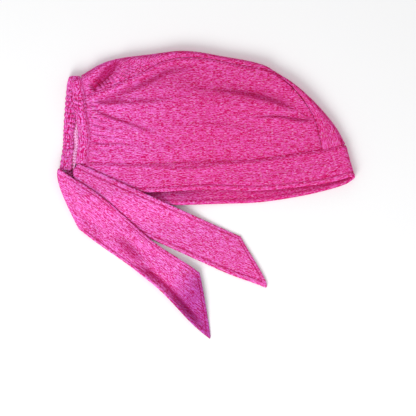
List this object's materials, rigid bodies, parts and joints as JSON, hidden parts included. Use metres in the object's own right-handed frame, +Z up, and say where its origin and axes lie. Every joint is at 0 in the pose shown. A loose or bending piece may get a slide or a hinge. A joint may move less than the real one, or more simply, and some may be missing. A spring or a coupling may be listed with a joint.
{
  "type": "bandana cap",
  "caption": "Soft jersey bandana cap with a wide front band, an elastic nape casing and a pair of tie ends, laid flat on its side.",
  "frame": {"origin": "on the ground under the middle of the cap and its ties", "axes": "+X from the nape to the brow, +Y from the hem to the crown, +Z up through the laid layers"},
  "size_m": [0.259, 0.2506, 0.0145],
  "materials": {
    "crown_jersey": "heathered jersey knit",
    "band_jersey": "heathered jersey knit",
    "tie_jersey": "heathered jersey knit",
    "lining_jersey": "wrong side of the jersey",
    "elastic": "woven elastic"
  },
  "bodies": {
    "cap": {"near_side_panel": "crown_jersey", "far_side_panel": "crown_jersey", "crown_panel": "crown_jersey", "front_band": "band_jersey", "band_lining": "lining_jersey", "back_casing": "band_jersey", "back_elastic": "elastic", "near_tie_root": "tie_jersey", "far_tie_root": "tie_jersey"},
    "near_tie": {"near_tie_end": "tie_jersey"},
    "far_tie": {"far_tie_run": "tie_jersey"}
  },
  "joints": [
    {"name": "near_tie_lift", "type": "hinge", "parent": "cap", "child": "near_tie", "pos_m": [-0.0222, -0.0314, 0.0037], "axis": [-0.4089, -0.9056, -0.1128], "range_deg": [0, 110]},
    {"name": "far_tie_unfold", "type": "hinge", "parent": "cap", "child": "far_tie", "pos_m": [-0.11505, -0.00659, 0.00955], "axis": [0.3018, -0.9344, -0.1891], "range_deg": [0, 150]}
  ]
}
